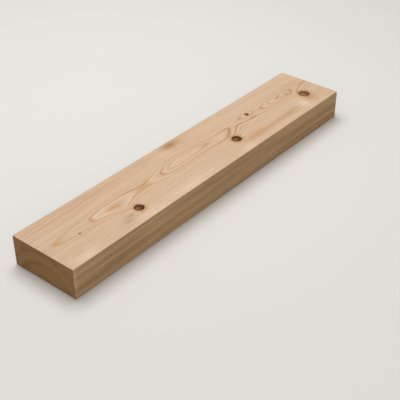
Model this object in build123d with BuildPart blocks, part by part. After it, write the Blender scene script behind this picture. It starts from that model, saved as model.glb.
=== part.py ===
"""A short plank of sawn softwood, lying flat on its wide face.

+X runs along the grain, from the near sawn end to the far one. +Y runs across the width and +Z
up through the thickness. The origin is the centre of the underside, and sizes are millimetres.

The plank is one piece. The branches that grew through it end in its upper face, where each shows
as a round knot. A knot dries harder than the wood about it and shrinks into a shallow dish.
"""

import os
from math import hypot

from build123d import *

# The stock: a usual sawn section, cut short.
length = 810.0
width = 150.0
thickness = 63.0

# The saw leaves the arrises nearly sharp. Handling has eased the upper two a little more.
upper_arris = 1.0
lower_arris = 0.6
end_arris = 0.4

# A knot's dish is this share of its width deep.
sink_ratio = 0.036

# Each knot is its place along the plank and across it, measured from the middle as shares of the
# length and the width, and its own width.
knots = [
    (-0.253, -0.25, 19.0),
    (0.122, -0.18, 21.0),
    (0.432, -0.155, 24.0),
    (0.238, 0.123, 9.0),
]


with BuildPart() as plank:
    with BuildSketch(Plane.YZ.offset(-length / 2)):
        Rectangle(width, thickness, align=(Align.CENTER, Align.MIN))
    extrude(amount=length)

    fillet(plank.edges().filter_by(Axis.X).group_by(Axis.Z)[-1], upper_arris)
    fillet(plank.edges().filter_by(Axis.X).group_by(Axis.Z)[0], lower_arris)

    # Crosscutting breaks only the corners of the two sawn ends.
    for sawn_end in (plank.faces().sort_by(Axis.X)[0], plank.faces().sort_by(Axis.X)[-1]):
        chamfer(sawn_end.edges(), end_arris)

    # A knot's dish is the cap of a ball as wide as the knot, turned about the upright through it.
    for along, across, knot_width in knots:
        middle = Vector(along * length, across * width, thickness)
        rim = knot_width / 2
        sink = sink_ratio * knot_width
        ball = hypot(rim, sink) ** 2 / (2 * sink)
        with BuildSketch(Plane(origin=middle, x_dir=(1, 0, 0), z_dir=(0, -1, 0))):
            with BuildLine():
                RadiusArc((0, -sink), (rim, 0), -ball)
                Line((rim, 0), (0, 0))
                Line((0, 0), (0, -sink))
            make_face()
        revolve(axis=Axis(middle, (0, 0, 1)), mode=Mode.SUBTRACT)

plank.part.label = "plank"

os.makedirs("parts", exist_ok=True)
export_step(plank.part, "parts/plank.step")
print("plank:", plank.part.bounding_box(), "volume", round(plank.part.volume))
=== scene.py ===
"""A short sawn softwood plank on a plain pale floor, in soft studio light.

The plank is one piece. Its mesh starts as a fine grid on the upper face and is extruded down to
the underside, so that the knots, the worn arrises and the rough sawn ends have real relief. Its
grain is worked out in three dimensions: growth rings run round a pith that lies below the
underside, swell where branches grew, and are cut by whichever face looks at them. All sizes in
the classes are millimetres, and the scene is in metres.
"""

from __future__ import annotations

import logging
import math
from collections.abc import Callable
from dataclasses import dataclass, field
from enum import Enum
from functools import reduce
from operator import add

import bmesh
import bpy
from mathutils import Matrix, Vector, noise


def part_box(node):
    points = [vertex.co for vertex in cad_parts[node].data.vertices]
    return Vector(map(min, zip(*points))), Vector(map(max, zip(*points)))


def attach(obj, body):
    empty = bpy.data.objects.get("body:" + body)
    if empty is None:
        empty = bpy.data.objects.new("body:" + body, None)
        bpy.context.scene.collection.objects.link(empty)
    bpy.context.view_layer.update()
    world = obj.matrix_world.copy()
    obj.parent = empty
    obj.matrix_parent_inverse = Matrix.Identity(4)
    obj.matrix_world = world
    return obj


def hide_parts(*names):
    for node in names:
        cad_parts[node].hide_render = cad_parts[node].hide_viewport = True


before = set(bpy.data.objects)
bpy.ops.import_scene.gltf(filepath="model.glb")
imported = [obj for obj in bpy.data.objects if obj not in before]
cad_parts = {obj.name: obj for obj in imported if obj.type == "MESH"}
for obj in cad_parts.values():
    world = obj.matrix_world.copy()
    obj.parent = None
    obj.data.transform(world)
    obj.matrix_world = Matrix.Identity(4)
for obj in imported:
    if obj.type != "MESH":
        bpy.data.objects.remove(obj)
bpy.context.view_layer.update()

MM = 0.001
NODE = "plank"
# A mix node has sockets for every kind of value. These are the numbers of those for colours.
MIX_FIRST, MIX_SECOND, MIX_RESULT = 6, 7, 2
# A face whose normal has more than this share along an axis belongs to that side of the block.
SQUARE_ON = 0.7

log = logging.getLogger("plank")

Colour = Triple = tuple[float, float, float]


def linear(red: int, green: int, blue: int) -> Colour:
    """Turn a screen colour into the linear values that shaders use.

    Args:
        red: Screen red, 0 to 255.
        green: Screen green, 0 to 255.
        blue: Screen blue, 0 to 255.

    Returns:
        The linear red, green and blue.
    """
    screen = (channel / 255 for channel in (red, green, blue))
    return tuple(c / 12.92 if c <= 0.04045 else ((c + 0.055) / 1.055) ** 2.4 for c in screen)


def step(operation: str) -> Callable[..., Value]:
    """Make the method that works out a number from a value, and from another where the step takes two."""
    return lambda value, other=0.0: value.wire.number(operation, value, other)


class Value:
    """What a socket puts out. It takes part in sums as a plain number does."""

    __add__ = step("ADD")
    __sub__ = step("SUBTRACT")
    __mul__ = step("MULTIPLY")
    __truediv__ = step("DIVIDE")
    __pow__ = step("POWER")
    exponent = step("EXPONENT")
    floor = step("FLOOR")
    fraction = step("FRACT")
    larger = step("MAXIMUM")
    smaller = step("MINIMUM")
    size = step("ABSOLUTE")
    sine = step("SINE")

    def __init__(self, wire: Wiring, socket: bpy.types.NodeSocket) -> None:
        """Take an output socket, and the wiring of the tree that it is in."""
        self.wire = wire
        self.socket = socket


class Wiring:
    """Adds nodes to a shader tree and wires them as it goes."""

    def __init__(self, tree: bpy.types.NodeTree) -> None:
        """Start on a tree."""
        self.tree = tree
        self.count = 0

    def add(self, kind: str, **settings: object) -> bpy.types.Node:
        """Add one node.

        Args:
            kind: Blender's name for the node type.
            settings: Properties to set on it.

        Returns:
            The new node.
        """
        node = self.tree.nodes.new(kind)
        node.location = (180 * (self.count % 40), -220 * (self.count // 40))
        self.count += 1
        for name, value in settings.items():
            setattr(node, name, value)
        return node

    def feed(self, socket: bpy.types.NodeSocket, value: object) -> None:
        """Wire a socket to another one, or set it to a plain value.

        Args:
            socket: The input socket.
            value: A socket's value, a number, or a tuple of numbers.
        """
        if isinstance(value, Value):
            self.tree.links.new(value.socket, socket)
        elif socket.type == "RGBA" and len(value) == 3:
            socket.default_value = (*value, 1.0)
        else:
            socket.default_value = value

    def work(self, kind: str, given: dict[str | int, object], **settings: object) -> list[Value]:
        """Add one node and feed it.

        Args:
            kind: Blender's name for the node type.
            given: What feeds each input, by its name or number.
            settings: Properties to set on the node.

        Returns:
            What its outputs give, in their order.
        """
        node = self.add(kind, **settings)
        for socket, value in given.items():
            self.feed(node.inputs[socket], value)
        return [Value(self, socket) for socket in node.outputs]

    def number(self, operation: str, first: object, second: object) -> Value:
        """Work out a number from two others by one of Blender's operations."""
        return self.work("ShaderNodeMath", {0: first, 1: second}, operation=operation)[0]

    def vector(self, operation: str, first: object, second: object = (0.0, 0.0, 0.0)) -> Value:
        """Work out a vector, or a number, from two vectors by one of Blender's operations."""
        vector, number = self.work("ShaderNodeVectorMath", {0: first, 1: second}, operation=operation)
        return number if operation in ("DOT_PRODUCT", "LENGTH") else vector

    def split(self, vector: object) -> list[Value]:
        """Give the X, Y and Z of a vector."""
        return self.work("ShaderNodeSeparateXYZ", {0: vector})

    def join(self, x: object, y: object, z: object) -> Value:
        """Make a vector of three numbers."""
        return self.work("ShaderNodeCombineXYZ", {0: x, 1: y, 2: z})[0]

    def ease(self, value: object, low: float, high: object, bottom: float = 0.0, top: float = 1.0) -> Value:
        """Go smoothly from bottom to top while a value goes from low to high."""
        given = {"Value": value, "From Min": low, "From Max": high, "To Min": bottom, "To Max": top}
        return self.work("ShaderNodeMapRange", given, interpolation_type="SMOOTHSTEP")[0]

    def mix(self, share: object, first: object, second: object, blend: str = "MIX") -> Value:
        """Mix two colours, with a share of 0 to 1 of the second, in one of Blender's ways."""
        given = {"Factor": share, MIX_FIRST: first, MIX_SECOND: second}
        return self.work("ShaderNodeMix", given, data_type="RGBA", blend_type=blend)[MIX_RESULT]

    def tint(self, share: object, colour: object, tint: object) -> Value:
        """Multiply a colour by a tint, as far as the share says."""
        return self.mix(share, colour, tint, "MULTIPLY")

    def grain(self, point: object, stretch: Triple, detail: float = 3.0, roughness: float = 0.5) -> Value:
        """Make noise with a grain of its own size along each axis.

        Args:
            point: Where, in millimetres.
            stretch: The grain's size along X, Y and Z, in millimetres.
            detail: How many finer layers it has.
            roughness: How strong the finer layers are.

        Returns:
            The noise, 0 to 1.
        """
        scaled = self.vector("MULTIPLY", point, tuple(1 / size for size in stretch))
        given = {"Vector": scaled, "Scale": 1.0, "Detail": detail, "Roughness": roughness}
        return self.work("ShaderNodeTexNoise", given, noise_dimensions="3D")[0]

    def ramp(self, value: object, stops: tuple[tuple[float, Colour], ...]) -> Value:
        """Turn a number into a colour.

        Args:
            value: The number, 0 to 1.
            stops: Each place on the way and its colour.

        Returns:
            The colour.
        """
        node = self.add("ShaderNodeValToRGB")
        elements = node.color_ramp.elements
        while len(elements) < len(stops):
            elements.new(0.5)
        for element, (place, colour) in zip(elements, stops):
            element.position = place
            element.color = (*colour, 1.0)
        self.feed(node.inputs[0], value)
        return Value(self, node.outputs["Color"])

    def group(self, tree: bpy.types.NodeTree, **given: object) -> list[Value]:
        """Place a node group, and give what its outputs give."""
        return self.work("ShaderNodeGroup", given, node_tree=tree)


class Effect(Wiring):
    """A shader node group in the making: an effect with named inputs and outputs."""

    def __init__(self, name: str, vectors: list[str], numbers: list[str], outputs: list[str]) -> None:
        """Make the group and its sockets.

        Args:
            name: The group's name.
            vectors: The names of the inputs that are vectors.
            numbers: The names of the inputs that are plain numbers.
            outputs: The names of the outputs, all plain numbers.
        """
        super().__init__(bpy.data.node_groups.new(name, "ShaderNodeTree"))
        for names, way, kind in (
            (vectors, "INPUT", "NodeSocketVector"),
            (numbers, "INPUT", "NodeSocketFloat"),
            (outputs, "OUTPUT", "NodeSocketFloat"),
        ):
            for socket in names:
                self.tree.interface.new_socket(socket, in_out=way, socket_type=kind)
        self.given = [Value(self, socket) for socket in self.add("NodeGroupInput").outputs if socket.name]
        self.result = self.add("NodeGroupOutput").inputs

    def put_out(self, **values: Value) -> bpy.types.NodeTree:
        """Wire the outputs.

        Args:
            values: What feeds each output.

        Returns:
            The finished group.
        """
        for name, value in values.items():
            self.feed(self.result[name], value)
        return self.tree


def soft_spot() -> bpy.types.NodeTree:
    """Make the group for a spot that fades out smoothly from its middle.

    Returns:
        The group. Strength is reached in the middle, and a third of it at Reach.
    """
    wire = Effect("soft_spot", ["Point", "Middle", "Reach"], ["Strength"], ["Value"])
    point, middle, reach, strength = wire.given
    away = wire.vector("DIVIDE", wire.vector("SUBTRACT", point, middle), reach)
    square = wire.vector("DOT_PRODUCT", away, away)
    return wire.put_out(Value=(square * -1.0).exponent() * strength)


@dataclass(frozen=True)
class Swell:
    """A place where the growth rings bulge towards the upper face, or sink away from it.

    Attributes:
        along: Place along the plank.
        across: Place across it, at the upper face.
        reach_along: How far it spreads along.
        reach_across: How far it spreads across.
        rings: How many rings it lifts out of the face. Below zero, it cuts deeper into the stem.
    """

    along: float
    across: float
    reach_along: float
    reach_across: float
    rings: float


@dataclass(frozen=True)
class DarkSpell:
    """Some dry years, whose late wood is darker than the rest.

    Attributes:
        ring: The ring in the middle of the spell.
        years: How many rings it spreads over.
        strength: How dark it is.
    """

    ring: float
    years: float
    strength: float


@dataclass(frozen=True)
class GrowthRings:
    """The rings of the stem that the plank was sawn from.

    Attributes:
        pith_below: How far the pith lies below the underside.
        pith_across: The pith's place across the plank, half way along it.
        pith_slant: How far that shifts for each millimetre along.
        radius: From the pith to the upper face.
        ring: The width of a ring at the upper face.
        crowding: The power by which rings get narrower further out.
        first: The ring at the middle of the upper face, counted from the one that shows best.
        wobble: How many rings the lines waver by.
        contrast: How dark the late wood of the palest and of the darkest usual years is.
        swells: Where the rings bulge and sink.
        spells: The years with dark late wood.
    """

    pith_below: float = 30.0
    pith_across: float = 3.5
    pith_slant: float = 0.011
    radius: float = 93.0
    ring: float = 1.12
    crowding: float = 2.2
    first: float = -1.15
    wobble: float = 0.34
    contrast: tuple[float, float] = (0.04, 0.19)
    swells: tuple[Swell, ...] = tuple(Swell(*row) for row in (
        (-406.7, 0, 70, 20, 1.28), (-356.7, 0, 110, 300, 1.14), (-310, 0, 30, 20, 0.51),
        (-228, -2, 24, 9, 0.3), (-227, -20, 20, 20, -0.92), (-213, -33.5, 26, 13, -1.2),
        (-178, -10, 20, 20, 0.28), (-145, 0, 45, 35, 1.05), (-66, 6, 20, 12, -0.54),
        (-50, 36, 30, 12, -0.8), (-40, 30, 45, 20, -1.53), (-25, 0, 45, 300, -0.33),
        (13.3, 12, 70, 12, -1.14), (20, 30, 30, 12, -0.71), (65, -12, 45, 12, -0.73),
        (91, -23.5, 24, 13, -1.2), (109, 10, 20, 20, -0.44), (144, -10, 20, 20, 0.72),
        (170, 24, 45, 12, -1.24), (176.7, 0, 70, 20, 1.17), (193, 18.5, 16, 9, -0.7),
        (280, 12, 30, 12, -1.05), (303.3, 36, 110, 12, -1.38), (320, 20, 30, 20, -1.63),
        (326, -10, 20, 20, -1.2), (341, -19.5, 26, 14, -1.6), (350, -6, 45, 12, -0.46),
        (354, 30, 20, 20, -1.04), (420, 12, 170, 12, -0.86),
    ))
    spells: tuple[DarkSpell, ...] = (
        DarkSpell(-1.0, 1.5, 0.85),
        DarkSpell(-5.6, 1.8, 0.7),
        DarkSpell(-22.5, 1.8, 0.7),
    )

    def pith_at(self, along: float | Value) -> float | Value:
        """Give the pith's place across the plank, at a place along it."""
        return along * self.pith_slant + self.pith_across

    def group(self, spot: bpy.types.NodeTree) -> bpy.types.NodeTree:
        """Make the group that counts rings at a point.

        Args:
            spot: The soft spot group.

        Returns:
            The group. Ring is the count and Late goes from 0 to 1 through a ring. Dark is how dark the
            year's late wood is, and Spell is 1 in the middle of some dry years.
        """
        wire = Effect("growth_rings", ["Point"], [], ["Ring", "Late", "Dark", "Spell"])
        (point,) = wire.given
        x, y, z = wire.split(point)
        height = z + self.pith_below
        pith = self.pith_at(x)
        offset = y - pith
        out = wire.vector("LENGTH", wire.join(0.0, height, offset))
        grown = (out / self.radius) ** self.crowding - 1.0
        ring = grown * (self.radius / (self.ring * self.crowding)) + self.first
        # A swell keeps its direction from the pith, so it narrows towards the underside.
        depth = height / self.radius
        place = wire.join(x, offset / depth + pith, 0.0)
        bulges = [
            wire.group(
                spot, Point=place, Middle=(swell.along, swell.across, 0.0),
                Reach=(swell.reach_along, swell.reach_across, 1.0), Strength=swell.rings,
            )[0]
            for swell in self.swells
        ]
        ring = ring + reduce(add, bulges) * depth
        ring = ring + (wire.grain(point, (34.0, 7.0, 7.0)) - 0.5) * self.wobble

        # White noise gives each year a strength of its own. The shift keeps it off the whole numbers.
        year, _ = wire.work("ShaderNodeTexWhiteNoise", {"W": ring.floor() + 0.37}, noise_dimensions="1D")
        count = wire.join(ring, 0.0, 0.0)
        dry = reduce(add, [
            wire.group(
                spot, Point=count, Middle=(spell.ring, 0.0, 0.0),
                Reach=(spell.years, 1.0, 1.0), Strength=spell.strength,
            )[0]
            for spell in self.spells
        ])
        dark = (wire.ease(year, 0.0, 1.0, *self.contrast) + dry).smaller(1.0)
        return wire.put_out(Ring=ring, Late=ring.fraction(), Dark=dark, Spell=dry)


@dataclass(frozen=True)
class Knot:
    """A branch cut across by the upper face. It grew out of the pith and widens on its way up.

    Attributes:
        along: Its place along the plank.
        across: Its place across the plank, at the upper face.
        width: Its width at the upper face.
        sink: How deep it has shrunk into the face.
        dead: How dark its bark ring is, 0 to 1.
        pale: How much lighter its wood is than the other knots'.
    """

    along: float
    across: float
    width: float
    sink: float
    dead: float
    pale: float = 0.0

    def depth(self, x: float, y: float) -> float:
        """Tell how deep the wood has sunk at a point of the upper face.

        Args:
            x: The point's place along the plank.
            y: The point's place across it.

        Returns:
            The depth in millimetres.
        """
        away = Vector((x - self.along, y - self.across))
        waver = noise.noise(Vector((x * 0.22, y * 0.22, self.along)))
        # This is 0 in the middle and about 1 at the bark, which wavers a little.
        out = away.length / (self.width / 2) * (1 + 0.05 * waver)
        if out > 1.6:
            return 0.0
        turn = math.atan2(y - self.across, x - self.along)
        # Drying has dished the knot, checked it across its middle and sunk the wood round it a little.
        dish = max(0.0, 1 - out**2) ** 0.6
        # The bark ring has parted from the wood most on the side that faces up the stem.
        parted = 0.55 + 0.45 * math.cos(turn - 0.7)
        crack = 0.5 * parted * math.exp(-(((out - 0.95) / 0.09) ** 2))
        checks = 0.35 * max(0.0, math.cos(3 * turn + self.along)) ** 14 * max(0.0, 1 - out)
        lip = 0.12 * math.exp(-(((out - 1.25) / 0.2) ** 2))
        return self.sink * (dish + crack + checks + lip)


def knot_effect() -> bpy.types.NodeTree:
    """Make the group that tells where a point lies in a knot.

    Returns:
        The group. Wood is 1 in the knot, Bark 1 in its bark ring, which is darker on one side by painted
        shade,
        Halo 1 beside it, and Tone 1 at a patch of painted light off the middle, with the branch's own rings
        and fibres over it.
    """
    numbers = ["Along", "Across", "Radius", "Dead", "Pith", "Depth"]
    wire = Effect("knot", ["Point"], numbers, ["Wood", "Bark", "Halo", "Tone"])
    point, along, across, radius, dead, pith, depth = wire.given
    x, y, _ = wire.split(point)
    centre = pith + (across - pith) * depth
    size = radius * depth
    right = (x - along) / size
    up = (y - centre) / size
    out = wire.vector("LENGTH", wire.join(right, up, 0.0))
    out = out * wire.ease(wire.grain(point, (5.0, 5.0, 9.0)), 0.2, 0.8, 0.95, 1.05)

    wood = wire.ease(out, 0.97, 1.04, 1.0, 0.0)
    # Painted shade: the bark ring is darker on the side towards the key lamp, where the wall of the dished
    # knot lies in shadow.
    side = wire.ease(right * 0.75 + up * 0.65, -0.9, 0.9, 0.75, 1.0)
    bark = wire.ease(out, 0.6, 0.88) * wire.ease(out, 0.97, 1.06, 1.0, 0.0) * side * dead
    # Resin has soaked into the wood beside it, and further into some fibres than into others.
    compass = wire.join(right / out, up / out, along)
    reach = wire.ease(wire.grain(compass, (0.34, 0.34, 1.0)), 0.3, 0.7, 1.25, 2.4)
    soaked = wire.ease(wire.grain(point, (2.2, 1.3, 9.0)), 0.3, 0.66, 0.55, 1.0)
    laps = wire.ease((out * 17.0).sine(), 0.2, 1.0, 0.0, 0.3) * wire.ease(out, 1.1, 2.3, 1.0, 0.0)
    halo = wire.ease(out, 0.93, reach, 1.0, 0.0) * soaked + laps
    # Painted light: a light patch lies off the middle, on the side away from the key lamp, where the wall
    # of the dished knot faces the light. The branch's own years and fibres show round it.
    lit_patch = wire.vector("LENGTH", wire.join(right + 0.45, up * 0.7, 0.0))
    tone_and_light = wire.ease(lit_patch, 0.1, 0.75, 1.0, 0.0) * 0.6 + (out * 22.0).sine() * 0.12
    tone_and_light = tone_and_light + wire.ease(wire.grain(point, (1.8, 1.2, 4.0)), 0.3, 0.7, -0.25, 0.25)
    return wire.put_out(Wood=wood, Bark=bark, Halo=halo, Tone=tone_and_light)


@dataclass(frozen=True)
class SawMarks:
    """The furrows that the saw's teeth left across the long sides.

    The mesh and the shader work them out in the same way, so that the painted shade sits in the furrows.

    Attributes:
        pitch: The distance from one furrow to the next.
        lean: How far a furrow shifts along for each millimetre up.
        depth: How deep the furrows are.
        sways: The feed was uneven, so the furrows shift by waves. Each is its reach and the distance
            along that makes one radian of it.
    """

    pitch: float = 6.4
    lean: float = 0.14
    depth: float = 0.11
    sways: tuple[tuple[float, float], ...] = ((5.0, 97.0), (1.6, 23.0))

    def furrow(self, x: float, z: float) -> float:
        """Tell how far into a furrow a point of a long side lies, from 0 on a ridge to 1 in the bottom."""
        track = x + self.lean * z + sum(reach * math.sin(x / length) for reach, length in self.sways)
        return 0.5 + 0.5 * math.sin(track * math.tau / self.pitch)

    def group(self) -> bpy.types.NodeTree:
        """Make the group that tells the same for a shader.

        Returns:
            The group. Furrow is 0 to 1, and Fine is 0 to 1 through the finer scratches between.
        """
        wire = Effect("saw_marks", ["Point"], [], ["Furrow", "Fine"])
        x, _, z = wire.split(*wire.given)
        track = x + z * self.lean
        for reach, length in self.sways:
            track = track + (x / length).sine() * reach
        turns = track * (math.tau / self.pitch)
        furrow = wire.ease(turns.sine(), -0.3, 1.0)
        return wire.put_out(Furrow=furrow, Fine=wire.ease((turns * 4.0).sine(), -1.0, 1.0))


class Soaks(Enum):
    """Which wood a stain shows in."""

    ALL = 0
    STREAKS = 1
    LATE_WOOD = 2
    SPLINTERS = 3


class Tint(Enum):
    """The colours that patches of the wood have."""

    PALE = linear(240, 219, 199)
    PLAIN = linear(214, 184, 153)
    AMBER = linear(200, 150, 98)
    RESIN = linear(175, 128, 81)
    BROWN = linear(150, 98, 52)
    ROSY = linear(190, 148, 115)
    GREY = linear(172, 145, 122)
    TORN = linear(255, 236, 214)


@dataclass(frozen=True)
class Stain:
    """A patch where the wood has its own tint.

    Attributes:
        middle: Its middle along, across and up.
        reach: How far it spreads along, across and up.
        tint: Its colour.
        strength: How much of the tint it has in the middle.
        soaks: Which wood it shows in.
    """

    middle: Triple
    reach: Triple
    tint: Tint
    strength: float
    soaks: Soaks = Soaks.ALL


@dataclass(frozen=True)
class SawnSoftwood:
    """The finish of the plank: rings, fibres, knots, stains and the marks of the saw, with painted shade on
    the ends, the long sides and the furrows, and painted light and shade in the knots.

    Attributes:
        through_ring: The wood's colour on its way through one ring, from early to late wood.
        plain: The colour between strong rings.
        fibre: The colour of the darker fibres.
        streak: The colour of the broad streaks along the grain.
        cloud: The colour of the lighter clouds.
        years_tint: What some years are darkened by.
        fleck_tint: What short flecks are darkened by.
        end_wood_and_shade: What the sawn ends are darkened by: partly their own darker end grain, partly
            painted shade.
        side_wood_and_shade: What the sawn long sides are darkened by: partly the rough sawn wood, partly
            painted shade.
        dense_tint: What dense wood is darkened by on the sawn ends.
        furrow_shade_tint: The painted shade that darkens the saw's furrows.
        band_tint: What broad bands along the sawn long sides are darkened by.
        knot_pale_and_lit: The knot's paler wood, and its lit side, which is painted light.
        knot_dark_and_shaded: Its darker wood, and its shaded side, which is painted shade.
        bark: Its bark ring.
        halo: The resin-soaked wood beside it.
        halo_share: How much of that the wood takes on.
        stains: The patches with a tint of their own.
        scuff: The middle and the reach of the part of the near end where the rings are scuffed out.
        scuffed: How much of the rings has gone in the middle of it.
        fibre_bump: How high the fibres stand, in millimetres.
        late_bump: How high hard late wood stands.
        scratch_bump: How deep the fine scratches of the long sides are.
        stroke_bump: How deep the saw's strokes on the ends are.
        pore_bump: How deep the pores of the ends are.
        saw: The saw marks on the long sides.
    """

    through_ring: tuple[tuple[float, Colour], ...] = (
        (0.0, linear(204, 173, 148)),
        (0.12, linear(211, 182, 156)),
        (0.36, linear(217, 192, 168)),
        (0.66, linear(227, 204, 181)),
        (0.78, linear(219, 184, 148)),
        (0.89, linear(198, 154, 108)),
        (0.965, linear(166, 121, 80)),
        (1.0, linear(190, 152, 122)),
    )
    plain: Colour = linear(215, 190, 165)
    fibre: Colour = linear(182, 145, 110)
    streak: Colour = linear(201, 164, 131)
    cloud: Colour = linear(222, 193, 165)
    years_tint: Colour = (0.85, 0.80, 0.73)
    fleck_tint: Colour = (0.88, 0.84, 0.79)
    end_wood_and_shade: Colour = (0.55, 0.42, 0.25)
    side_wood_and_shade: Colour = (0.76, 0.68, 0.52)
    dense_tint: Colour = (0.74, 0.70, 0.67)
    furrow_shade_tint: Colour = (0.90, 0.88, 0.86)
    band_tint: Colour = (0.76, 0.75, 0.74)
    knot_pale_and_lit: Colour = linear(158, 116, 82)
    knot_dark_and_shaded: Colour = linear(84, 46, 15)
    bark: Colour = linear(58, 26, 8)
    halo: Colour = linear(178, 133, 82)
    halo_share: float = 0.95
    stains: tuple[Stain, ...] = (
        # A branch ends just under the left arris and stains the wood above it.
        Stain((-40, 54, 63), (24, 13, 30), Tint.PALE, 0.5),
        Stain((-95, 60, 63), (50, 12, 30), Tint.GREY, 0.3),
        Stain((-4, 63, 63), (50, 19, 30), Tint.AMBER, 0.42),
        Stain((-9, 64, 63), (19, 10, 20), Tint.BROWN, 0.95),
        # Resin, in the middle of the ovals and in the rings that are squeezed between the knots.
        Stain((-236, -1.5, 63), (14, 4.5, 8), Tint.AMBER, 0.95),
        Stain((-152, 2, 63), (25, 4.5, 8), Tint.AMBER, 0.6),
        Stain((190, 0.5, 63), (15, 3.5, 8), Tint.RESIN, 0.9),
        Stain((346, -43, 63), (13, 11, 12), Tint.AMBER, 0.5),
        Stain((-205, -50, 63), (8, 6, 10), Tint.AMBER, 0.4),
        Stain((-376, 0, 63), (24, 8, 8), Tint.AMBER, 0.5, Soaks.LATE_WOOD),
        Stain((-200, 12, 63), (40, 6, 8), Tint.RESIN, 0.7, Soaks.LATE_WOOD),
        Stain((110, 5, 63), (11, 12, 12), Tint.RESIN, 1.0, Soaks.LATE_WOOD),
        Stain((126, -5, 63), (20, 10, 12), Tint.RESIN, 1.0, Soaks.LATE_WOOD),
        Stain((144, 3, 63), (22, 7, 12), Tint.RESIN, 1.0, Soaks.LATE_WOOD),
        Stain((300, 12, 63), (22, 8, 12), Tint.RESIN, 0.75, Soaks.LATE_WOOD),
        Stain((338, 8, 63), (16, 10, 12), Tint.RESIN, 1.0, Soaks.LATE_WOOD),
        Stain((200, 20, 63), (30, 10, 8), Tint.PLAIN, 0.95, Soaks.LATE_WOOD),
        Stain((0, 8, 63), (70, 14, 8), Tint.PLAIN, 0.6, Soaks.LATE_WOOD),
        # Small torn spots beside the knots.
        Stain((182.5, 28.5, 63), (3.5, 1.1, 5), Tint.BROWN, 0.7),
        Stain((93, -39, 63), (1.6, 2.6, 5), Tint.RESIN, 0.7),
        Stain((98, -40, 63), (1.3, 3.0, 5), Tint.RESIN, 0.6),
        # Grey smudges of handling.
        Stain((323, 6.5, 63), (9, 6, 8), Tint.GREY, 0.85),
        Stain((-234, -44, 63), (11, 6, 8), Tint.GREY, 0.75),
        Stain((-247, -52, 63), (14, 7, 8), Tint.GREY, 0.7),
        Stain((-367, -50, 63), (10, 7, 8), Tint.GREY, 0.5),
        # Bands of darker years along both arrises.
        Stain((-290, 54, 50), (150, 17, 60), Tint.ROSY, 0.85, Soaks.STREAKS),
        Stain((245, -48, 50), (150, 10, 60), Tint.RESIN, 0.7, Soaks.STREAKS),
        Stain((142, -47, 63), (50, 8, 20), Tint.AMBER, 0.6),
        # Pale wood between the knots and the right arris.
        Stain((313, -46, 63), (15, 19, 40), Tint.PALE, 0.85),
        Stain((-200, -67, 63), (36, 13, 40), Tint.PALE, 0.7),
        Stain((-365, -64, 63), (32, 14, 40), Tint.PALE, 0.8),
        Stain((-95, -63, 63), (64, 11, 40), Tint.PALE, 0.65),
        Stain((90, -62, 63), (26, 12, 40), Tint.PALE, 0.55),
        # Fibres that the saw tore on its way out.
        Stain((-404, -75, 30), (6, 3, 40), Tint.TORN, 1.0, Soaks.SPLINTERS),
    )
    scuff: tuple[Triple, Triple] = ((-405.0, -38.0, 22.0), (60.0, 40.0, 26.0))
    scuffed: float = 0.85
    fibre_bump: float = 0.11
    late_bump: float = 0.03
    scratch_bump: float = 0.05
    stroke_bump: float = 0.035
    pore_bump: float = 0.3
    saw: SawMarks = SawMarks()


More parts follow.
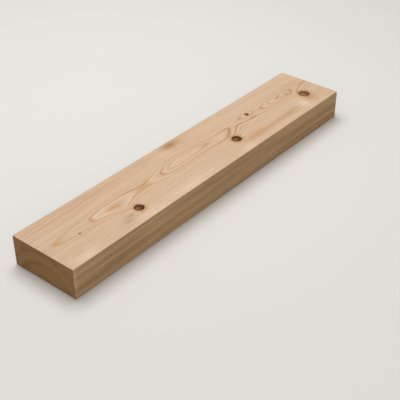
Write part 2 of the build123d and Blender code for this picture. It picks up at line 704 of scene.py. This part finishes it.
class WoodPaint(Wiring):
    """The plank's material in the making, from the finish, the growth rings and the knots."""

    def __init__(self, finish: SawnSoftwood, rings: GrowthRings, knots: tuple[Knot, ...]) -> None:
        """Start the material with all that its colour and its relief share.

        Args:
            finish: The colours, the stains and the saw marks.
            rings: The growth rings.
            knots: The knots.
        """
        self.finish = finish
        self.rings = rings
        self.knots = knots
        self.material = bpy.data.materials.new("sawn_softwood")
        self.material.use_nodes = True
        super().__init__(self.material.node_tree)
        self.spot = soft_spot()
        place = Value(self, self.add("ShaderNodeTexCoord").outputs["Object"])
        self.point = point = self.vector("MULTIPLY", place, (1 / MM, 1 / MM, 1 / MM))
        facing = Value(self, self.add("ShaderNodeNewGeometry").outputs["True Normal"])
        self.end, self.side = (self.ease(part.size(), 0.6, 0.8) for part in self.split(facing)[:2])

        self.ring, self.late, self.dark, self.spell = self.group(rings.group(self.spot), Point=point)
        self.fibres = self.grain(point, (26.0, 0.55, 0.55), roughness=0.6)
        along_ring = self.join(self.split(point)[0], self.ring, 0.0)
        self.years = self.grain(along_ring, (300.0, 2.2, 1.0))
        self.furrow, self.fine = self.group(finish.saw.group(), Point=point)
        rubbed = self.ease(self.grain(point, (30.0, 30.0, 16.0), detail=2.0), 0.35, 0.65, 0.25, 1.0)
        self.marked = self.side * rubbed

    def paint(self) -> bpy.types.Material:
        """Wire the shader.

        Returns:
            The finished material.
        """
        # The rings alone colour clear wood.
        clear = self.mix(self.dark, self.finish.plain, self.ramp(self.late, self.finish.through_ring))
        colour, dull = self.knotty(self.grain_lines(self.stained(clear)))
        looks = {
            "Base Color": self.cut(colour),
            "Roughness": self.ease(self.fibres, 0.2, 0.8, 0.62, 0.74) - dull * 0.12,
            "Specular IOR Level": 0.12,
            "Normal": self.relief(),
        }
        shader = self.tree.nodes["Principled BSDF"]
        for name, value in looks.items():
            self.feed(shader.inputs[name], value)
        return self.material

    def stained(self, colour: Value) -> Value:
        """Lay the stains over the wood.

        Args:
            colour: The wood's colour without them.

        Returns:
            The colour with them.
        """
        stripes = self.grain(self.point, (150.0, 3.0, 3.0), detail=4.0, roughness=0.6)
        splinters = self.grain(self.point, (16.0, 16.0, 2.2), detail=2.0)
        shows = {
            Soaks.STREAKS: self.ease(stripes, 0.38, 0.62),
            Soaks.LATE_WOOD: self.ease(self.late, 0.45, 0.9),
            Soaks.SPLINTERS: self.ease(splinters, 0.46, 0.58),
        }
        for stain in self.finish.stains:
            share = self.near(stain.middle, stain.reach, stain.strength)
            if stain.soaks in shows:
                share = share * shows[stain.soaks]
            colour = self.mix(share, colour, stain.tint.value)
        return colour

    def near(self, middle: Triple, reach: Triple, strength: float) -> Value:
        """Tell how much of a soft spot reaches the point."""
        return self.group(self.spot, Point=self.point, Middle=middle, Reach=reach, Strength=strength)[0]

    def grain_lines(self, colour: Value) -> Value:
        """Lay streaks, clouds, fibres and flecks over the wood.

        Args:
            colour: The wood's colour without them.

        Returns:
            The colour with them.
        """
        finish = self.finish
        streaks = self.grain(self.point, (230.0, 5.0, 5.0), detail=5.0, roughness=0.65)
        clouds = self.grain(self.point, (120.0, 45.0, 45.0), detail=2.0)
        flecks = self.grain(self.point, (15.0, 2.4, 2.4), roughness=0.6)
        colour = self.mix(self.ease(streaks, 0.3, 0.7, 0.0, 0.28), colour, finish.streak)
        colour = self.mix(self.ease(clouds, 0.35, 0.7, 0.0, 0.28), colour, finish.cloud)
        colour = self.mix(self.ease(self.fibres, 0.35, 0.75, 0.0, 0.24), colour, finish.fibre)
        colour = self.tint(self.ease(flecks, 0.35, 0.65, 0.0, 0.35), colour, finish.fleck_tint)
        return self.tint(self.ease(self.years, 0.35, 0.7, 0.0, 0.5), colour, finish.years_tint)

    def knotty(self, colour: Value) -> tuple[Value, Value]:
        """Lay the knots over the wood, with painted light and painted shade on the two sides of each dished
        knot.

        Args:
            colour: The wood's colour without them.

        Returns:
            The colour with them, and a mask that is 1 in a knot.
        """
        finish, rings = self.finish, self.rings
        effect = knot_effect()
        depth = (self.split(self.point)[2] + rings.pith_below) / rings.radius
        masks = []
        for knot in self.knots:
            wood, bark, halo, tone_and_light = self.group(
                effect, Point=self.point, Along=knot.along, Across=knot.across, Radius=knot.width / 2,
                Dead=knot.dead, Pith=rings.pith_at(knot.along), Depth=depth,
            )
            colour = self.mix(halo * finish.halo_share, colour, finish.halo)
            # The knot's tone mixes its own paler and darker wood with painted light on one side and painted
            # shade on the other.
            inside = self.mix(tone_and_light + knot.pale, finish.knot_dark_and_shaded, finish.knot_pale_and_lit)
            colour = self.mix(bark, self.mix(wood, colour, inside), finish.bark)
            masks.append(wood)
        return colour, reduce(Value.larger, masks)

    def cut(self, colour: Value) -> Value:
        """Darken the wood where it was sawn across and where it was ripped, partly by painted shade on the
        ends, the long sides and the saw's furrows.

        Args:
            colour: The wood's colour on the smooth upper face.

        Returns:
            The colour on every face.
        """
        finish = self.finish
        bands = self.ease(self.grain(self.point, (420.0, 420.0, 13.0)), 0.42, 0.66)
        # Painted shade, in part: the sawn ends are darkened by their own darker end grain and by painted
        # shade.
        colour = self.tint(self.end, colour, finish.end_wood_and_shade)
        # Painted shade, in part: the long sides are darkened by the rough sawn wood and by painted shade.
        colour = self.tint(self.side, colour, finish.side_wood_and_shade)
        colour = self.tint(self.side * bands, colour, finish.band_tint)
        # Painted shade in the saw's furrows.
        colour = self.tint(self.marked * self.furrow, colour, finish.furrow_shade_tint)
        # Late wood is dense, so the cut ends of its fibres take in more light.
        dense = self.ease(self.years, 0.35, 0.7, 0.0, 0.6) + self.spell
        worn = self.ease(self.grain(self.point, (50.0, 26.0, 26.0), detail=2.0), 0.3, 0.6, 0.45, 1.0)
        unscuffed = self.near(*finish.scuff, finish.scuffed) * -1.0 + 1.0
        return self.tint(dense * worn * unscuffed * self.end, colour, finish.dense_tint)

    def relief(self) -> Value:
        """Make the fine relief: fibres, hard late wood, scratches and the pores of the sawn ends.

        Returns:
            The bumped normal.
        """
        finish = self.finish
        _, y, z = self.split(self.point)
        height = self.fibres * finish.fibre_bump
        for part, depth in (
            (self.fine * self.marked, finish.scratch_bump),
            (((z * 0.8 + y) * 3.0).sine() * self.end, finish.stroke_bump),
            (self.grain(self.point, (0.9, 0.9, 0.9)) * self.end, finish.pore_bump),
            (self.ease(self.late, 0.7, 0.95), finish.late_bump),
        ):
            height = height + part * depth
        return self.work("ShaderNodeBump", {"Height": height, "Distance": MM, "Strength": 1.0})[0]


@dataclass(frozen=True)
class Wear:
    """How uneven drying, the saw and handling have left the surface, in millimetres.

    Attributes:
        deepest: The most that any relief goes into the wood.
        waves: How deep the slow waves of every face are.
        rough: How far the rough sawn ends are worn back on average, and how far that varies.
        bruise: How deep the bruises at the arrises are.
        nibble: How deep the finer nibbles are.
        strip: How far from an arris both reach.
        splinter: How deep the saw tore the long sides at the upright arrises.
        torn: How far from an end they are torn.
        lip: How far from a long side's plane a point still belongs to it.
    """

    deepest: float = 1.5
    waves: float = 0.1
    rough: tuple[float, float] = (0.1, 0.12)
    bruise: float = 1.1
    nibble: float = 0.22
    strip: float = 3.0
    splinter: float = 1.3
    torn: float = 7.0
    lip: float = 1.5


@dataclass
class Plank:
    """The plank: one piece of stock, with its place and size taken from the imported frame.

    Attributes:
        low: The lowest corner of the CAD node, in metres.
        high: Its highest corner.
        cell: The grid's pitch on the faces, in millimetres.
        upper_arris: How far the two upper long arrises are rounded.
        lower_arris: How far the two lower ones are.
        end_arris: How far the arrises of the sawn ends are.
        knots: The knots in the upper face.
        rings: The growth rings.
        worn: The wear.
        finish: The finish.
        piece: The plank's object, once it is built.
    """

    low: Vector
    high: Vector
    cell: float = 2.7
    upper_arris: float = 1.0
    lower_arris: float = 0.6
    end_arris: float = 0.4
    knots: tuple[Knot, ...] = (
        Knot(-205, -37.5, 19, 0.75, 0.95),
        Knot(99, -26.5, 21, 0.75, 0.7),
        Knot(350, -23.5, 24, 0.8, 0.7, 0.35),
        Knot(193, 18.5, 9, 0.6, 0.9),
        Knot(-327.5, -11, 3.2, 0.25, 0.8),
    )
    rings: GrowthRings = field(default_factory=GrowthRings)
    worn: Wear = field(default_factory=Wear)
    finish: SawnSoftwood = field(default_factory=SawnSoftwood)
    piece: bpy.types.Object = field(init=False)

    def build(self) -> bpy.types.Object:
        """Model the plank and dress it.

        Returns:
            The finished object.
        """
        self.block()
        self.ease_arrises()
        self.refine_knots()
        self.refine_sides()
        self.wear()
        self.dress()
        return self.piece

    def block(self) -> None:
        """Model the square block, with a grid of faces fine enough for relief."""
        length, width, thickness = self.high - self.low
        columns, rows, layers = (round(size / (self.cell * MM)) for size in (length, width, thickness))
        bpy.ops.object.select_all(action="DESELECT")
        bpy.ops.mesh.primitive_grid_add(x_subdivisions=columns, y_subdivisions=rows, size=1.0)
        self.piece = bpy.context.active_object
        self.piece.name = self.piece.data.name = "sawn_plank"
        bpy.ops.object.mode_set(mode="EDIT")
        bpy.ops.mesh.select_all(action="SELECT")
        bpy.ops.transform.resize(value=(length, width, 1.0))
        middle = (self.low + self.high) / 2
        bpy.ops.transform.translate(value=(middle.x, middle.y, self.high.z))
        bpy.ops.mesh.extrude_region_move(TRANSFORM_OT_translate={"value": (0.0, 0.0, -thickness)})
        for layer in range(1, layers):
            bpy.ops.mesh.select_all(action="SELECT")
            level = self.low.z + thickness * layer / layers
            bpy.ops.mesh.bisect(plane_co=(0.0, 0.0, level), plane_no=(0.0, 0.0, 1.0))
        bpy.ops.mesh.select_all(action="SELECT")
        bpy.ops.mesh.normals_make_consistent(inside=False)
        bpy.ops.object.mode_set(mode="OBJECT")

    def inside(self, at: Vector) -> tuple[float, float, float]:
        """Tell how far inside the block's nearer end, side and face a point lies, all in millimetres."""
        length, width, thickness = (self.high - self.low) / MM
        return length / 2 - abs(at.x), width / 2 - abs(at.y), min(at.z, thickness - at.z)

    def edit(self, kind: str, wanted: Callable[..., bool], change: Callable[[], object]) -> None:
        """Change some of the mesh's edges or faces in edit mode.

        Args:
            kind: EDGE or FACE.
            wanted: Takes an edge or a face and its middle in millimetres, and tells if it is changed.
            change: Changes what is selected.
        """
        bpy.ops.object.mode_set(mode="EDIT")
        bpy.ops.mesh.select_mode(type=kind)
        bpy.ops.mesh.select_all(action="DESELECT")
        mesh = bmesh.from_edit_mesh(self.piece.data)
        for part in mesh.edges if kind == "EDGE" else mesh.faces:
            corners = [vertex.co for vertex in part.verts]
            part.select = wanted(part, sum(corners, Vector()) / len(corners) / MM)
        bmesh.update_edit_mesh(self.piece.data)
        change()
        bpy.ops.object.mode_set(mode="OBJECT")

    def ease_arrises(self) -> None:
        """Round the long arrises, and then the arrises of the two ends."""
        near = 0.01
        sharp = math.radians(40)
        round_off = {"segments": 3, "affect": "EDGES", "clamp_overlap": True}
        for reach, wanted in (
            (self.upper_arris, lambda at: max(self.inside(at)[1:]) < near and at.z > near),
            (self.lower_arris, lambda at: max(self.inside(at)[1:]) < near and at.z < near),
            (self.end_arris, lambda at: self.inside(at)[0] < near),
        ):
            self.edit(
                "EDGE",
                lambda edge, at: edge.calc_face_angle(0.0) > sharp and wanted(at),
                lambda: bpy.ops.mesh.bevel(offset=reach * MM, **round_off),
            )

    def refine_knots(self) -> None:
        """Divide the faces in and round the knots more finely."""
        margin = 3.5
        self.edit(
            "FACE",
            lambda face, at: face.normal.z >= 0.9 and any(
                math.hypot(at.x - knot.along, at.y - knot.across) < knot.width / 2 + margin
                for knot in self.knots
            ),
            lambda: bpy.ops.mesh.subdivide(number_cuts=6),
        )

    def refine_sides(self) -> None:
        """Divide the long sides along their length for the furrows, and up their ends for the splinters."""

        def run(edge: bmesh.types.BMEdge) -> Vector:
            """Give the direction of an edge."""
            return (edge.verts[1].co - edge.verts[0].co).normalized()

        self.edit(
            "EDGE",
            lambda edge, at: abs(run(edge).x) > 0.9
            and any(abs(face.normal.y) > 0.5 for face in edge.link_faces),
            lambda: bpy.ops.mesh.subdivide(number_cuts=1),
        )
        self.edit(
            "EDGE",
            lambda edge, at: abs(run(edge).z) > 0.9 and self.inside(at)[0] < self.worn.torn
            and self.inside(at)[1] < 0.5,
            lambda: bpy.ops.mesh.subdivide(number_cuts=2),
        )

    def relief(self, at: Vector, facing: Vector) -> float:
        """Tell how far the surface lies inside the square block.

        Args:
            at: A point of the surface, in millimetres.
            facing: Which way it faces.

        Returns:
            The depth in millimetres.
        """
        worn, saw = self.worn, self.finish.saw
        from_end, from_side, from_face = self.inside(at)
        from_arris = sorted((from_side, from_end, from_face))[1]
        # What only one face has fades out in the last two millimetres before its arrises.
        inland = min(1.0, from_arris / 2.0)
        depth = worn.waves + worn.waves * noise.noise(at * 0.011)
        if abs(facing.x) > SQUARE_ON:
            depth += inland * (worn.rough[0] + worn.rough[1] * noise.noise(at * 0.35))
        if facing.z > SQUARE_ON:
            depth += sum(knot.depth(at.x, at.y) for knot in self.knots)
        if abs(facing.y) > SQUARE_ON:
            rubbed = 0.65 + 0.5 * noise.noise(Vector((at.x * 0.03, at.z * 0.06, at.y)))
            depth += inland * saw.depth * rubbed * saw.furrow(at.x, at.z)
        if from_arris < worn.strip:
            bruise = max(0.0, noise.noise(at * 0.16 + Vector((3.1, 7.7, 1.9))) - 0.25)
            nibble = max(0.0, noise.noise(at * 0.55))
            depth += (worn.bruise * bruise + worn.nibble * nibble) * (1 - from_arris / worn.strip)
        # A rounded arris can't sink by more than its radius, or it would turn inside out.
        radius = self.upper_arris if at.z > from_face else self.lower_arris
        if from_end < 1.5 * self.end_arris:
            radius = self.end_arris
        return min(depth, 0.5 * radius + max(0.0, from_arris - radius))

    def splinter(self, at: Vector) -> float:
        """Tell how much wood the saw tore out of a long side where it left the plank.

        Args:
            at: A point of the surface, in millimetres.

        Returns:
            The depth in millimetres, which is 0 but near the upright arrises of the ends.
        """
        from_end, from_side, _ = self.inside(at)
        if from_end > self.worn.torn or from_side > self.worn.lip:
            return 0.0
        # Each splinter runs along the grain, and some went deeper than others.
        ragged = noise.noise(Vector((at.x * 0.08, math.copysign(5.3, at.y), at.z * 0.42)))
        return self.worn.splinter * max(0.0, ragged + 0.1) * (1 - from_end / self.worn.torn) ** 2

    def wear(self) -> None:
        """Sink the knots, wear the surface and tear the splinters out of both long sides."""
        self.push("NORMAL", -1.0, self.relief)
        self.push("Y", 1.0, lambda at, _: self.splinter(at) if at.y < 0 else 0.0)
        self.push("Y", -1.0, lambda at, _: self.splinter(at) if at.y > 0 else 0.0)

    def push(self, direction: str, sign: float, depth: Callable[[Vector, Vector], float]) -> None:
        """Push the surface in with a Displace modifier, and apply it.

        Args:
            direction: Blender's name for the direction.
            sign: 1 to push along it, or -1 to push against it.
            depth: Takes a vertex's place in millimetres and its normal, and gives its depth in millimetres.
        """
        piece = self.piece
        group = piece.vertex_groups.new(name="relief")
        for vertex in piece.data.vertices:
            share = depth(vertex.co / MM, vertex.normal) / self.worn.deepest
            group.add([vertex.index], min(1.0, share), "REPLACE")
        sink = piece.modifiers.new("relief", "DISPLACE")
        sink.vertex_group = group.name
        sink.direction = direction
        sink.mid_level = 0.0
        sink.strength = sign * self.worn.deepest * MM
        bpy.context.view_layer.objects.active = piece
        bpy.ops.object.modifier_apply(modifier=sink.name)
        piece.vertex_groups.clear()

    def dress(self) -> None:
        """Shade the faces smooth, give them the finish and put the piece in the frame."""
        piece = self.piece
        bpy.ops.object.select_all(action="DESELECT")
        piece.select_set(True)
        bpy.context.view_layer.objects.active = piece
        bpy.ops.object.shade_smooth_by_angle(angle=math.radians(50))
        piece.data.materials.clear()
        piece.data.materials.append(WoodPaint(self.finish, self.rings, self.knots).paint())
        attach(piece, "root")
        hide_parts(NODE)


@dataclass(frozen=True)
class Lamp:
    """A soft square lamp that points at the plank.

    Attributes:
        name: Its name.
        at: Where it hangs, in metres.
        size: Its width, in metres.
        power: Its power, in watts.
        colour: Its colour.
    """

    name: str
    at: Triple
    size: float
    power: float
    colour: Colour

    def build(self) -> None:
        """Hang the lamp."""
        data = bpy.data.lights.new(self.name, "AREA")
        data.size = self.size
        data.energy = self.power
        data.color = self.colour
        lamp = bpy.data.objects.new(self.name, data)
        lamp.location = self.at
        lamp.rotation_euler = (-Vector(self.at)).to_track_quat("-Z", "Y").to_euler()
        bpy.context.collection.objects.link(lamp)


@dataclass(frozen=True)
class Studio:
    """The floor, the light and the camera.

    Attributes:
        floor_size: The width of the floor, in metres.
        floor_below: How far the floor lies below the plank, in metres.
        floor_colour: The floor's colour.
        floor_roughness: How dull the floor is.
        lamps: A large key lamp behind, and a weak fill in front.
        sky: The pale sky's colour.
        sky_strength: How bright the sky is.
        camera_at: Where the camera stands, in millimetres.
        camera_towards: The direction it looks in.
        lens: Its focal length.
        sensor: The width of its sensor.
    """

    floor_size: float = 14.0
    floor_below: float = 0.0005
    floor_colour: Colour = (0.74, 0.74, 0.73)
    floor_roughness: float = 0.8
    lamps: tuple[Lamp, ...] = (
        Lamp("key", (0.2, 0.6, 2.5), 1.8, 53.0, (1.0, 0.98, 0.94)),
        Lamp("fill", (-1.1, -2.1, 1.1), 2.0, 8.0, (1.0, 0.94, 0.84)),
    )
    sky: Colour = (1.0, 0.985, 0.96)
    sky_strength: float = 0.36
    camera_at: Triple = (-1114.3, -921.5, 952.9)
    camera_towards: Triple = (0.6369, 0.52035, -0.56885)
    lens: float = 77.3
    sensor: float = 36.0

    def build(self) -> None:
        """Put everything in place."""
        self.floor()
        for lamp in self.lamps:
            lamp.build()
        self.daylight()
        self.camera()

    def floor(self) -> None:
        """Lay the plain pale floor."""
        bpy.ops.object.select_all(action="DESELECT")
        bpy.ops.mesh.primitive_plane_add(size=self.floor_size, location=(0.0, 0.0, -self.floor_below))
        floor = bpy.context.active_object
        floor.name = "floor"
        material = bpy.data.materials.new("pale_floor")
        material.use_nodes = True
        shader = material.node_tree.nodes["Principled BSDF"]
        shader.inputs["Base Color"].default_value = (*self.floor_colour, 1.0)
        shader.inputs["Roughness"].default_value = self.floor_roughness
        floor.data.materials.append(material)

    def daylight(self) -> None:
        """Light the scene from a pale sky."""
        world = bpy.data.worlds.new("studio")
        world.use_nodes = True
        background = world.node_tree.nodes["Background"]
        background.inputs["Color"].default_value = (*self.sky, 1.0)
        background.inputs["Strength"].default_value = self.sky_strength
        bpy.context.scene.world = world

    def camera(self) -> None:
        """Stand the camera where the photograph was taken from."""
        data = bpy.data.cameras.new("camera")
        data.lens = self.lens
        data.sensor_width = self.sensor
        data.clip_start = 0.05
        data.clip_end = 50.0
        camera = bpy.data.objects.new("camera", data)
        camera.location = Vector(self.camera_at) * MM
        camera.rotation_euler = Vector(self.camera_towards).to_track_quat("-Z", "Y").to_euler()
        bpy.context.collection.objects.link(camera)
        bpy.context.scene.camera = camera


def main() -> None:
    """Build the plank and the studio, and report them."""
    logging.basicConfig(level=logging.INFO, format="%(name)s: %(message)s")
    bpy.context.scene.view_settings.view_transform = "Standard"
    low, high = (Vector(corner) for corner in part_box(NODE))
    piece = Plank(low, high).build()
    triangles = sum(len(polygon.vertices) - 2 for polygon in piece.data.polygons)
    log.info("%s has %d triangles", piece.name, triangles)
    Studio().build()
    log.info("floor, lamps and camera are in place")


if __name__ == "__main__":
    main()
